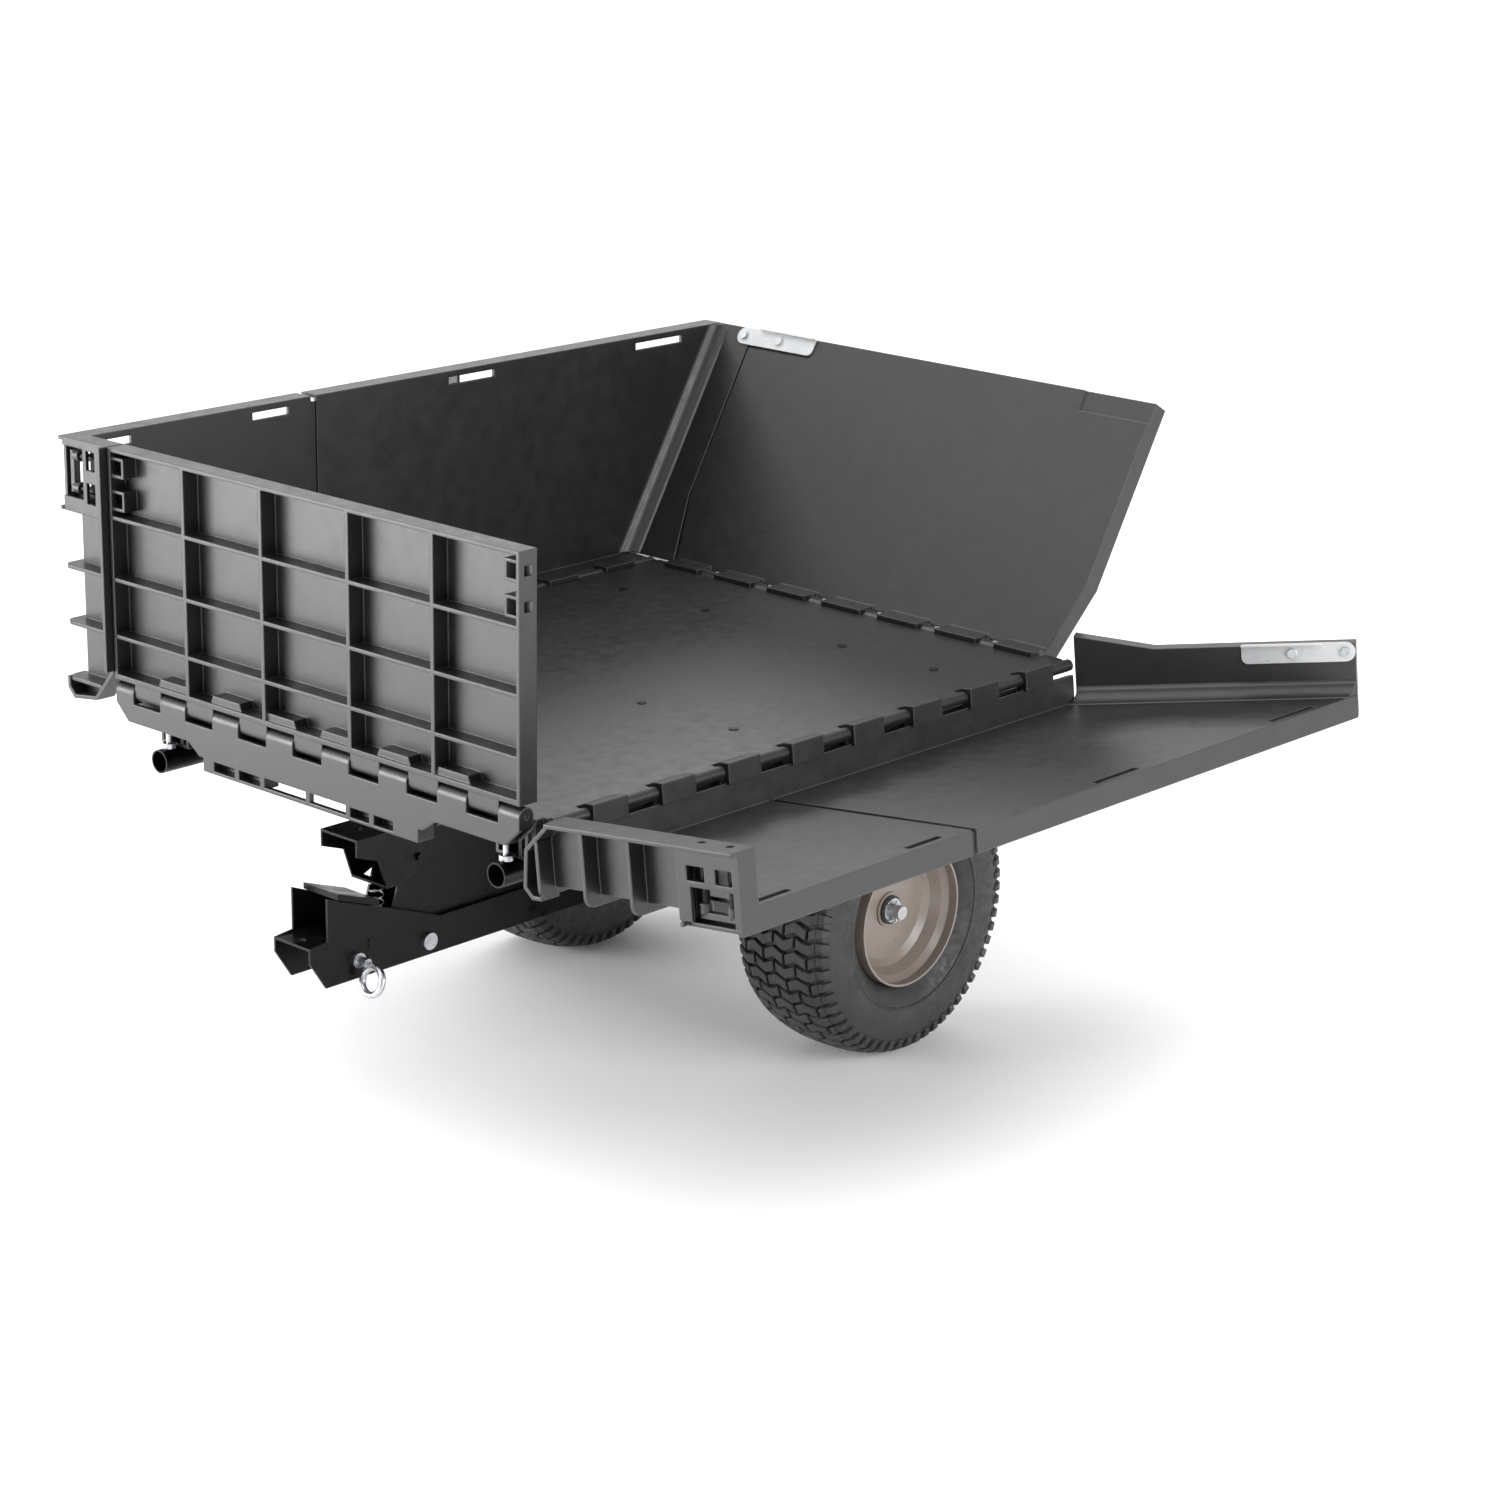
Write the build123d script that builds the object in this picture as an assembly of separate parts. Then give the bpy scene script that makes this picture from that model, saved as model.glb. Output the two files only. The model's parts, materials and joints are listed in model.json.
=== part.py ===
from build123d import *
import math
import os

# Tow-behind dump cart with a moulded poly bed whose four walls fold down.
# Layout frame, in millimetres: +X forward to the hitch, +Y left, +Z up,
# x = 0 at the axle, y = 0 on the centre line, z = 0 on the ground.
# Every piece is shifted on export, so that the origin is the hitch pin hole.

# ---- driving dimensions ----
TYRE_R = 203.0            # 16 inch turf tyre
TYRE_W = 160.0
WHEEL_Y = 295.0
RIM_R = 100.0
RIM_MID = WHEEL_Y + 27.0  # where the two rim halves meet
HUB_R = 24.0
AXLE_R = 9.5
AXLE_HALF = 351.0
WASHER_Y = 331.8
COTTER_Y = 340.0
COTTER_R = 1.8
VALVE_X = -8.0
VALVE_Y = RIM_MID + 20.0
VALVE_R = 5.4
FLOOR_Z = 515.5           # top of the bed floor
WALL_TOP = 847.0
SKIN = 5.0                # moulded skin and rib thickness
WALL_T = 29.0             # depth of the ribbed walls
FRONT_OUT = 755.0         # outer face of the front wall
FRONT_IN = FRONT_OUT - WALL_T
FRONT_HALF = 384.0
SIDE_IN = 455.0           # inner face of an upright side wall
SIDE_OUT = 487.0
POST_OUT = FRONT_OUT + 11.0        # the posts' inner flanges stand proud of the front wall
POST_IN = 387.0           # inboard edge of a side wall's front return
REAR_X = -287.0           # rear wall's inner face at floor level
LEAN = 30.8               # rear wall's lean from vertical, degrees
GATE_HALF = 380.0
GATE_FOOT = 355.0         # half width at the foot of the tailgate
GATE_GAP = 3.0
FOOT_GAP = 7.0            # wider, so that the foot clears the side walls as the tailgate turns
SEAM_X = 342.5            # joint line across a side wall's inner face
SIDE_DROP = 83.2          # turn of a side wall from upright to lowered

# hinges
ROD_R = 3.0
BORE_R = ROD_R + 0.08
SIDE_HINGE = (402.0, 510.0)      # y, z
FRONT_HINGE = (743.0, 520.0)     # x, z
REAR_HINGE = (-272.0, 510.0)     # x, z
TAB_R = 12.5               # hinge tabs of the side walls and the tailgate
BARREL_R = 8.5             # hinge barrels of the bed
HINGE_GAP = 1.5
SIDE_PITCH = 119.0
SIDE_TAB = 59.0
SIDE_FIRST = 602.0               # low end of the foremost wall tab
FRONT_PITCH = 106.3
FRONT_KNUCKLE_R = 9.5
RAIL_ENDS = (-222.0, 706.0)      # x of the bed's rails over the frame tubes
REAR_PITCH = 107.5
REAR_TAB = 74.0

# hitch and tongue
TONGUE_HALF = 35.0
PLATE = 3.0
TONGUE_LOW = 213.0
TONGUE_HIGH = 262.0
HITCH_X = 771.0
HITCH_TOP = 272.0
HITCH_HOLE_R = 6.75
PEDAL_PIVOT = (600.0, 352.0)     # x, z
KEEPER = (708.0, 239.0)          # x, z of the keeper pin across the tongue
KEEPER_R = 6.2
TONGUE_BOLT = (585.0, 233.0)     # x, z
TONGUE_BOLT_R = 5.0
BOLT_WINDOW = 6.5         # half side of the front wall's square window for a bolt
HAIR_PIN_Y = -42.0
HAIR_PIN_R = 1.2
HAIR_PIN_BEND = 4.2

# frame
TUBE_R = 16.0
TUBE_Y = 322.0
TUBE_Z = 430.0
TUBE_WALL = 2.0
CHANNELS = {"front": 560.0, "middle": 90.0, "rear": -90.0}
BRACKET_Y = 183.0

# corner brackets and side latches
PIVOT_Y = 394.0
BRACKET_REACH = 141.0
SEAT_DEPTH = 3.0
BRACKET_SEAT = PIVOT_Y - BRACKET_REACH + 4   # inboard end of the tailgate's seat for a bracket
PIVOT_UP = 372.0          # from floor level, up the slope of the rear wall
BOLT_Z = (778.0, 822.0)
BOLT_X = 740.0
BOLT_R = 5.0
HOUSING_Z = 748.0         # underside of the latch housing
POST_SKIN = 474.0         # outer edge of the front post's skin

COS_L = math.cos(math.radians(LEAN))
SIN_L = math.sin(math.radians(LEAN))
TAN_L = math.tan(math.radians(LEAN))
OUTWARD = (-COS_L, 0.0, -SIN_L)  # outward normal of the leaning rear wall


# ---- small shapes ----
def block(x0, x1, y0, y1, z0, z1):
    centre = Pos((x0 + x1) / 2, (y0 + y1) / 2, (z0 + z1) / 2)
    return centre * Box(abs(x1 - x0), abs(y1 - y0), abs(z1 - z0))


def rod(start, end, radius):
    start = Vector(*start)
    run = Vector(*end) - start
    plane = Plane(origin=start, z_dir=run)
    return extrude(plane * Circle(radius), amount=run.length)


def slab_xz(points, y0, y1):
    face = make_face(Polyline([(x, y0, z) for x, z in points], close=True))
    return extrude(face, amount=y1 - y0, dir=(0, 1, 0))


def slab_yz(points, x0, x1):
    face = make_face(Polyline([(x0, y, z) for y, z in points], close=True))
    return extrude(face, amount=x1 - x0, dir=(1, 0, 0))


def slope_point(y, up, out=0.0):
    """A point on the leaning rear wall: up the slope from floor level, and outward."""
    x = REAR_X - up * SIN_L + OUTWARD[0] * out
    return (x, y, FLOOR_Z + up * COS_L + OUTWARD[2] * out)


def slope_slab(points, out0, out1):
    """A plate lying in the leaning wall, from (y, up) points."""
    face = make_face(Polyline([slope_point(y, up, out0) for y, up in points], close=True))
    return extrude(face, amount=out1 - out0, dir=OUTWARD)


def slope_rect(y0, y1, up0, up1, out0, out1):
    return slope_slab([(y0, up0), (y1, up0), (y1, up1), (y0, up1)], out0, out1)


def fuse(shapes):
    shapes = list(shapes)
    return shapes[0].fuse(*shapes[1:]) if len(shapes) > 1 else shapes[0]


def other_side(shape):
    return mirror(shape, about=Plane.XZ)


def rear_x(z, out=0.0):
    return REAR_X - (z - FLOOR_Z) * TAN_L - out / COS_L


SLOPE_TOP = (WALL_TOP - FLOOR_Z) / COS_L


# ---- side walls, modelled upright on the left ----
SLOTS = [(690.0, 60.0), (420.0, 64.0), (42.0, 90.0), (-348.0, 100.0)]   # centre x, length
SIDE_RIBS = [592.0, 669.0, 752.0]
SIDE_UPRIGHTS = [612.0, 493.0, 340.0, 200.0, 60.0, -80.0, -215.0]


def side_tab_spans():
    return [(SIDE_FIRST - SIDE_PITCH * k, SIDE_FIRST - SIDE_PITCH * k + SIDE_TAB) for k in range(8)]


def side_panel():
    low = 503.0
    top_out = slope_point(0, SLOPE_TOP, WALL_T)
    front = FRONT_IN + SKIN
    outline = [(front, low), (front, WALL_TOP), (rear_x(WALL_TOP), WALL_TOP),
               (top_out[0], top_out[2]), (rear_x(low, WALL_T), low)]
    parts = [slab_xz(outline, SIDE_IN, SIDE_IN + SKIN)]
    shelf_y = (SIDE_IN + 1, SIDE_OUT)
    for z in SIDE_RIBS + [low, WALL_TOP - SKIN]:
        shelf = [(front, z), (front, z + SKIN),
                 (rear_x(z + SKIN, 1), z + SKIN), (rear_x(z, 1), z)]
        if z < WALL_TOP - SKIN:
            shelf = shelf[:2] + [(rear_x(z + SKIN, WALL_T), z + SKIN), (rear_x(z, WALL_T), z)]
        parts.append(slab_xz(shelf, *shelf_y))
    for x in SIDE_UPRIGHTS:
        parts.append(block(x, x + SKIN, *shelf_y, low, WALL_TOP - 1))
    rim = [(rear_x(low, WALL_T), low), (rear_x(low, WALL_T - SKIN), low),
           (slope_point(0, SLOPE_TOP, WALL_T - SKIN)[0], slope_point(0, SLOPE_TOP, WALL_T - SKIN)[2]),
           (top_out[0], top_out[2])]
    parts.append(slab_xz(rim, *shelf_y))
    end = [slope_point(0, SLOPE_TOP - SKIN, 0), slope_point(0, SLOPE_TOP, 0),
           slope_point(0, SLOPE_TOP, WALL_T), slope_point(0, SLOPE_TOP - SKIN, WALL_T)]
    parts.append(slab_xz([(p[0], p[2]) for p in end], *shelf_y))
    return parts


def post_shelf(z0, z1, y0=POST_IN):
    """A level rib of the front post, rounded at its outer corner."""
    r = 14.0
    shelf = block(FRONT_IN, FRONT_OUT, y0, SIDE_OUT, z0, z1)
    corner = block(FRONT_OUT - r, FRONT_OUT + 1, SIDE_OUT - r, SIDE_OUT + 1, z0 - 1, z1 + 1)
    x, y = FRONT_OUT - r, SIDE_OUT - r
    return shelf - (corner - rod((x, y, z0 - 2), (x, y, z1 + 2), r))


def front_return():
    """The post that turns the wall round the front corner, with its latch housing."""
    outline = [(POST_IN, WALL_TOP), (POST_IN, 542.0), (425.0, 497.0), (474.0, 490.0),
               (SIDE_OUT, 503.0), (SIDE_OUT, WALL_TOP)]
    solid = slab_yz(outline, FRONT_IN, FRONT_OUT)
    hollow = [(POST_IN + SKIN, WALL_TOP - SKIN), (POST_IN + SKIN, 544.0), (427.5, 502.0),
              (472.0, 495.5), (SIDE_OUT - SKIN, 506.0), (SIDE_OUT - SKIN, WALL_TOP - SKIN)]
    shell = solid - slab_yz(hollow, FRONT_IN + SKIN, FRONT_OUT + 1)
    shell -= block(FRONT_IN - 1, FRONT_OUT + 1, POST_SKIN, SIDE_OUT + 1, 519.0, HOUSING_Z)
    ribs = [post_shelf(z, z + SKIN) for z in SIDE_RIBS[:2]]
    ribs.append(post_shelf(515.0, 515.0 + SKIN, 414.0))
    housing = block(FRONT_OUT - SKIN, FRONT_OUT, POST_IN, SIDE_OUT - 8, HOUSING_Z, WALL_TOP)
    floor = post_shelf(HOUSING_Z, HOUSING_Z + SKIN)
    flange = block(FRONT_OUT - SKIN, POST_OUT, POST_IN, POST_IN + SKIN, 545.0, WALL_TOP)
    post = fuse([shell, housing, floor, flange] + ribs)
    post -= block(FRONT_OUT - 8, FRONT_OUT + 1, SIDE_OUT - 8, SIDE_OUT + 1, HOUSING_Z + SKIN, WALL_TOP - SKIN)
    for z0, z1 in [(764.0, 792.0), (809.0, 835.0)]:
        post -= block(FRONT_OUT - 10, FRONT_OUT + 1, 412.0, 430.0, z0, z1)
    for z in BOLT_Z:
        post -= rod((BOLT_X, POST_IN - 1, z), (BOLT_X, POST_IN + SKIN + 1, z), BOLT_R + 0.5)
    return post


def rear_return():
    """The leaning flange that turns the wall round the rear corner."""
    inner = GATE_HALF + GATE_GAP
    foot = GATE_FOOT + FOOT_GAP
    outline = [(inner, SLOPE_TOP), (inner, 110.0), (foot, 1.0), (SIDE_IN + 1, 1.0), (SIDE_IN + 1, SLOPE_TOP)]
    solid = slope_slab(outline, 0.0, WALL_T)
    hollow = [(inner + SKIN, SLOPE_TOP - SKIN), (inner + SKIN, 110.0), (foot + SKIN + 2, 11.0),
              (SIDE_IN + 2, 11.0), (SIDE_IN + 2, SLOPE_TOP - SKIN)]
    shell = solid - slope_slab(hollow, SKIN, WALL_T + 1)
    ribs = [slope_rect(inner + 1, SIDE_IN + 1, up, up + SKIN, 0, WALL_T) for up in (118.0, 205.0, 290.0)]
    return fuse([shell] + ribs)


def side_wall():
    y, z = SIDE_HINGE
    edge = y + TAB_R + HINGE_GAP
    strip = block(REAR_X + 3, FRONT_IN + 1, edge, SIDE_IN + 1, FLOOR_Z - 6, FLOOR_Z)
    parts = side_panel() + [front_return(), rear_return(), strip]
    for x0, x1 in side_tab_spans():
        parts.append(rod((x0, y, z), (x1, y, z), TAB_R))
        parts.append(block(x0, x1, y - TAB_R, y, z, z + TAB_R))
        parts.append(block(x0, x1, y, edge + 1, z - 5, z + TAB_R))
    wall = fuse(parts)
    wall -= rod((REAR_X, y, z), (FRONT_IN, y, z), BORE_R)
    wall -= block(FRONT_IN - 1, FRONT_OUT + 1, 437.0, SIDE_OUT - SKIN - 0.5, 768.0, 836.0)
    for x, length in SLOTS:
        wall -= block(x - length / 2, x + length / 2, SIDE_IN - 1, SIDE_IN + SKIN + 1, 827.0, 838.0)
    wall -= block(SEAM_X - 5, SEAM_X + 5, SIDE_IN - 1, SIDE_IN + 3.5, FLOOR_Z, WALL_TOP + 1)
    wall -= block(SEAM_X - 5, SEAM_X + 5, SIDE_IN - 1, SIDE_OUT + 1, WALL_TOP - 9, WALL_TOP + 1)
    wall -= rod(slope_point(PIVOT_Y, PIVOT_UP, -1), slope_point(PIVOT_Y, PIVOT_UP, SKIN + 1), ROD_R)
    return wall


# ---- corner bracket on the leaning rear corner, modelled closed on the left ----
def corner_bracket():
    half = 13.5
    near = -0.7
    round_r = 9.0
    tip = PIVOT_Y - BRACKET_REACH
    foot = PIVOT_UP - half
    plate = slope_rect(tip, PIVOT_Y, foot, PIVOT_UP + half, near - 2.5, near)
    corner = slope_rect(tip - 1, tip + round_r, foot - 1, foot + round_r, near - 3, near + 1)
    rounding = rod(slope_point(tip + round_r, foot + round_r, near - 4),
                   slope_point(tip + round_r, foot + round_r, near + 2), round_r)
    end = rod(slope_point(PIVOT_Y, PIVOT_UP, near - 2.5), slope_point(PIVOT_Y, PIVOT_UP, near), half)
    lip = slope_rect(tip, PIVOT_Y - 32, PIVOT_UP + half - 2.5, PIVOT_UP + half, near - 10, near)
    stud_y = PIVOT_Y - 72
    stud = rod(slope_point(stud_y, PIVOT_UP, near - 6.5), slope_point(stud_y, PIVOT_UP, near), 6.5)
    bracket = fuse([plate - (corner - rounding), end, lip, stud])
    return bracket - rod(slope_point(PIVOT_Y, PIVOT_UP, -20), slope_point(PIVOT_Y, PIVOT_UP, 1), BORE_R)


def bracket_screw():
    shank = rod(slope_point(PIVOT_Y, PIVOT_UP, -4), slope_point(PIVOT_Y, PIVOT_UP, 16), ROD_R - 0.01)
    head = rod(slope_point(PIVOT_Y, PIVOT_UP, -7.5), slope_point(PIVOT_Y, PIVOT_UP, -3.5), 6.5)
    nut = rod(slope_point(PIVOT_Y, PIVOT_UP, SKIN + 0.2), slope_point(PIVOT_Y, PIVOT_UP, 13), 6.0)
    return fuse([shank, head, nut])


# ---- side latch in the front return, modelled upright on the left, withdrawn ----
def latch_bolts():
    return Compound(children=[rod((BOLT_X, 391.0, z), (BOLT_X, 473.0, z), BOLT_R) for z in BOLT_Z])


def latch_handle():
    bar = block(BOLT_X - 5, BOLT_X + 5, 468.5, 476.0, BOLT_Z[0] - 6, BOLT_Z[1] + 6)
    lugs = [rod((BOLT_X, 458.0, z), (BOLT_X, 470.0, z), 8.0) for z in BOLT_Z]
    handle = fuse([bar] + lugs)
    for z in BOLT_Z:
        handle -= rod((BOLT_X, 455.0, z), (BOLT_X, 473.0, z), BOLT_R)
    return handle


# ---- front wall ----
def front_knuckle_centres():
    return [FRONT_PITCH * k for k in range(-3, 4)]


def front_tab_centres():
    return [FRONT_PITCH * (k + 0.5) for k in range(-3, 3)]


def front_wall():
    low = 536.0
    solid = block(FRONT_IN, FRONT_OUT, -FRONT_HALF, FRONT_HALF, low, WALL_TOP)
    hollow = block(FRONT_IN + SKIN, FRONT_OUT + 1, SKIN - FRONT_HALF, FRONT_HALF - SKIN,
                   low + 7, WALL_TOP - SKIN)
    parts = [solid - hollow]
    parts += [block(FRONT_IN + 1, FRONT_OUT, 1 - FRONT_HALF, FRONT_HALF - 1, z, z + SKIN) for z in SIDE_RIBS]
    for y in (-233.5, -81.5, 81.5, 233.5):
        parts.append(block(FRONT_IN + 1, FRONT_OUT, y - 3, y + 3, low + 1, WALL_TOP - 1))
    x, z = FRONT_HINGE
    for y in front_knuckle_centres():
        parts.append(rod((x, y - 26.5, z), (x, y + 26.5, z), FRONT_KNUCKLE_R))
        parts.append(block(x - FRONT_KNUCKLE_R, x + FRONT_KNUCKLE_R, y - 26.5, y + 26.5, z, low + 1))
    for y in front_tab_centres():
        ledge = [(y - 33, low + 1), (y - 26, low + 17), (y + 26, low + 17), (y + 33, low + 1)]
        parts.append(slab_yz(ledge, FRONT_IN + 1, FRONT_OUT - 3))
    sockets = []
    for zb in BOLT_Z:
        box = block(FRONT_IN + 1, FRONT_OUT - 3, 356.0, FRONT_HALF - 1, zb - 14, zb + 13)
        sockets.append(box - block(FRONT_IN + SKIN, FRONT_OUT, 360.0, FRONT_HALF, zb - 10, zb + 9))
    parts += sockets + [other_side(s) for s in sockets]
    wall = fuse(parts)
    for zb in BOLT_Z:
        window = block(BOLT_X - BOLT_WINDOW, BOLT_X + BOLT_WINDOW, FRONT_HALF - SKIN - 1, FRONT_HALF + 1,
                       zb - BOLT_WINDOW, zb + BOLT_WINDOW)
        wall = wall - window - other_side(window)
    return wall - rod((x, -FRONT_HALF, z), (x, FRONT_HALF, z), BORE_R)


# ---- tailgate ----
def gate_tab_spans():
    return [(REAR_PITCH * k - REAR_TAB / 2, REAR_PITCH * k + REAR_TAB / 2) for k in range(-3, 4)]


def tailgate():
    half, foot = GATE_HALF, GATE_FOOT
    outline = [(half, SLOPE_TOP), (half, 110.0), (foot, 2.0), (-foot, 2.0), (-half, 110.0),
               (-half, SLOPE_TOP)]
    solid = slope_slab(outline, 0.0, WALL_T)
    half, foot = half - SKIN, foot - SKIN - 1
    inner = [(half, SLOPE_TOP - SKIN), (half, 110.0), (foot, 8.0), (-foot, 8.0), (-half, 110.0),
             (-half, SLOPE_TOP - SKIN)]
    parts = [solid - slope_slab(inner, SKIN, WALL_T + 1)]
    parts += [slope_rect(1 - half, half - 1, up, up + SKIN, 1, WALL_T) for up in (118.0, 205.0, 290.0)]
    for y in (-233.5, -81.5, 81.5, 233.5):
        parts.append(slope_rect(y - 3, y + 3, 3.0, SLOPE_TOP - 1, 1, WALL_T))
    x, z = REAR_HINGE
    for y0, y1 in gate_tab_spans():
        y0, y1 = max(y0, 1 - GATE_FOOT), min(y1, GATE_FOOT - 1)
        parts.append(rod((x, y0, z), (x, y1, z), TAB_R))
        parts.append(block(x, x + TAB_R, y0, y1, z, z + TAB_R))
        parts.append(block(REAR_X - 13, x, y0, y1, z - 6, z + TAB_R))
    gate = fuse(parts)
    for y0, y1 in ((BRACKET_SEAT, GATE_HALF + 1), (-GATE_HALF - 1, -BRACKET_SEAT)):
        gate -= slope_rect(y0, y1, PIVOT_UP - 17, SLOPE_TOP + 1, -1.0, SEAT_DEPTH)
    return gate - rod((x, -GATE_FOOT, z), (x, GATE_FOOT, z), BORE_R)


# ---- bed ----
def bed_barrel_spans():
    spans = [(x1 + HINGE_GAP, x1 + SIDE_PITCH - SIDE_TAB - HINGE_GAP) for x0, x1 in side_tab_spans()]
    last = side_tab_spans()[-1][0]
    return spans + [(last - 50, last - HINGE_GAP)]


def bed_floor():
    low = 485.0
    side = SIDE_HINGE[0] - TAB_R - HINGE_GAP
    rear = REAR_HINGE[0] + TAB_R + HINGE_GAP
    front = FRONT_HINGE[0] - FRONT_KNUCKLE_R - HINGE_GAP
    parts = [block(rear, front, -side, side, FLOOR_Z - 6, FLOOR_Z)]
    # front skirt, lower in front of the front wall's knuckles
    skirt = [(-359.0, 482.0), (-235.0, 482.0), (-213.0, 466.0), (213.0, 466.0), (235.0, 482.0),
             (359.0, 482.0), (383.0, 505.0), (383.0, 507.5), (-383.0, 507.5), (-383.0, 505.0)]
    parts.append(slab_yz(skirt, FRONT_OUT - 6, FRONT_OUT))
    parts.append(slab_yz(skirt, front - 6, front).fuse(
        block(front - 6, front, -383, 383, 507, FLOOR_Z - 1)))
    parts.append(block(front - 6, FRONT_OUT, -359, 359, 482.0, 487.0))
    x, z = FRONT_HINGE
    spans = [(c - 25.5, c + 25.5) for c in front_tab_centres()] + [(347.0, 383.0), (-383.0, -347.0)]
    for y0, y1 in spans:
        parts.append(block(front - 1, FRONT_OUT, y0, y1, 507.0, z))
        parts.append(rod((x, y0, z), (x, y1, z), FRONT_OUT - x))
    # side and rear skirts
    for y in (side - 8, 2 - side):
        parts.append(block(rear, front - 1, y, y + 6, low, FLOOR_Z - 1))
    parts.append(block(rear, rear + 6, -side, side, low, FLOOR_Z - 1))
    # hinge barrels along the sides and the rear
    y, zs = SIDE_HINGE
    for x0, x1 in bed_barrel_spans():
        barrel = rod((x0, y, zs), (x1, y, zs), BARREL_R).fuse(block(x0, x1, side - 1, y, zs - 5, FLOOR_Z))
        parts += [barrel, other_side(barrel)]
    xr, zr = REAR_HINGE
    tabs = gate_tab_spans()
    for (a0, a1), (b0, b1) in zip(tabs[:-1], tabs[1:]):
        parts.append(rod((xr, a1 + HINGE_GAP, zr), (xr, b0 - HINGE_GAP, zr), BARREL_R))
        parts.append(block(xr, rear + 1, a1 + HINGE_GAP, b0 - HINGE_GAP, zr - 5, FLOOR_Z))
    for y0, y1 in ((GATE_FOOT + 4, side), (-side, -GATE_FOOT - 4)):
        parts.append(block(REAR_X + 3, rear + 1, y0, y1, FLOOR_Z - 6, FLOOR_Z))
    # ribs under the floor
    for yr in (-230.0, -145.0, -60.0, 60.0, 145.0, 230.0):
        parts.append(block(rear + 5, front - 5, yr - 2.5, yr + 2.5, 490.0, FLOOR_Z - 1))
    for k in range(9):
        xr2 = -190.0 + 110.0 * k
        parts.append(block(xr2 - 2.5, xr2 + 2.5, 7 - side, side - 7, 490.0, FLOOR_Z - 1))
    # rails over the frame tubes
    for sign in (-1, 1):
        yc = sign * TUBE_Y
        for yr in (yc - 28, yc - 12, yc + 12, yc + 23):
            parts.append(block(*RAIL_ENDS, yr - 2.5, yr + 2.5, TUBE_Z + TUBE_R + 3, FLOOR_Z - 1))
        parts.append(block(*RAIL_ENDS, yc - 30.5, yc + 25.5, TUBE_Z + TUBE_R + 0.2, TUBE_Z + TUBE_R + 4.2))
    # stiffening strip below the front edge: two windows, with pockets beside them
    strip = fuse([block(front - 4, FRONT_OUT, -205.0, -88.0, 448.0, 470.0),
                  block(FRONT_OUT - 7, FRONT_OUT, -89.0, 77.0, 448.0, 470.0),
                  block(front - 4, FRONT_OUT, 76.0, 205.0, 448.0, 470.0)])
    for y0, y1 in ((-84.0, -4.0), (4.0, 72.0)):
        strip -= block(FRONT_OUT - 8, FRONT_OUT + 1, y0, y1, 453.0, 471.0)
    for y0, y1 in ((-184.0, -142.0), (-134.0, -92.0), (80.0, 116.0), (124.0, 160.0)):
        strip -= block(FRONT_OUT - 16, FRONT_OUT + 1, y0, y1, 452.0, 465.0)
    parts.append(strip)
    bed = fuse(parts)
    bed -= rod((-290, y, zs), (724, y, zs), BORE_R)
    bed -= rod((-290, -y, zs), (724, -y, zs), BORE_R)
    bed -= rod((x, -384, z), (x, 384, z), BORE_R)
    bed -= rod((xr, -384, zr), (xr, 384, zr), BORE_R)
    for x0, x1 in side_tab_spans():
        bed -= block(x0 - 1, x1 + 1, side - 4, side + 1, FLOOR_Z - 4, FLOOR_Z + 1)
        bed -= block(x0 - 1, x1 + 1, -side - 1, 4 - side, FLOOR_Z - 4, FLOOR_Z + 1)
    for xb, yb in floor_bolt_places():
        bed -= rod((xb, yb, TUBE_Z), (xb, yb, FLOOR_Z + 1), 4.2)
    return bed


def floor_bolt_places():
    return [(xb, s * yb) for xb in (-114.0, 289.0) for yb in (132.0, 298.0) for s in (-1, 1)]


def floor_bolts():
    bolts = []
    for xb, yb in floor_bolt_places():
        foot = TUBE_Z + TUBE_R + 0.2 if abs(yb) > 200 else FLOOR_Z - 6.0
        head = rod((xb, yb, FLOOR_Z), (xb, yb, FLOOR_Z + 1.2), 6.5)
        shank = rod((xb, yb, foot - 7), (xb, yb, FLOOR_Z + 0.5), 4.0)
        nut = rod((xb, yb, foot - 6), (xb, yb, foot), 6.5)
        bolts.append(fuse([head, shank, nut]))
    return Compound(children=bolts)


def frame_tube(y):
    outer = rod((-250, y, TUBE_Z), (735, y, TUBE_Z), TUBE_R)
    return outer - rod((-251, y, TUBE_Z), (736, y, TUBE_Z), TUBE_R - TUBE_WALL)


def frame_bolts():
    """Bolts that hold the bed's rails on the tubes near the front and rear ends."""
    bolts = []
    seat = TUBE_Z + TUBE_R
    for x in (RAIL_ENDS[0] - 14, RAIL_ENDS[1] + 12):
        for y in (-TUBE_Y, TUBE_Y):
            stem = rod((x, y, seat + 0.1), (x, y, FLOOR_Z - 6.1), 4.0)
            collar = rod((x, y, seat + 0.1), (x, y, seat + 7), 9.0)
            bolts.append(stem.fuse(collar))
    return Compound(children=bolts)


def cross_channel(x):
    outer = block(x - 15, x + 15, -TUBE_Y, TUBE_Y, TUBE_Z - 14, TUBE_Z + 14)
    core = block(x - 12.5, x + 12.5, -TUBE_Y - 1, TUBE_Y + 1, TUBE_Z - 11.5, TUBE_Z + 11.5)
    channel = outer - core
    for y in (-TUBE_Y, TUBE_Y):
        channel -= rod((x - 20, y, TUBE_Z), (x + 20, y, TUBE_Z), TUBE_R + 0.05)
        channel -= block(x - 20, x + 20, y, y * 1.1, TUBE_Z - 20, TUBE_Z + 20)
    return channel


def axle_bracket(y):
    base = TUBE_Z - 14
    plate = slab_xz([(-105, base), (105, base), (30, 190), (14, 180), (-14, 180), (-30, 190)], y - 3, y + 3)
    inward = -8.0 if y > 0 else 8.0
    flange = block(-105, 105, y, y + 2.5 * inward, base - 4, base)
    plate = plate.fuse(flange)
    return plate - rod((0, y - 10, TYRE_R), (0, y + 10, TYRE_R), AXLE_R + 3.5)


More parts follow.
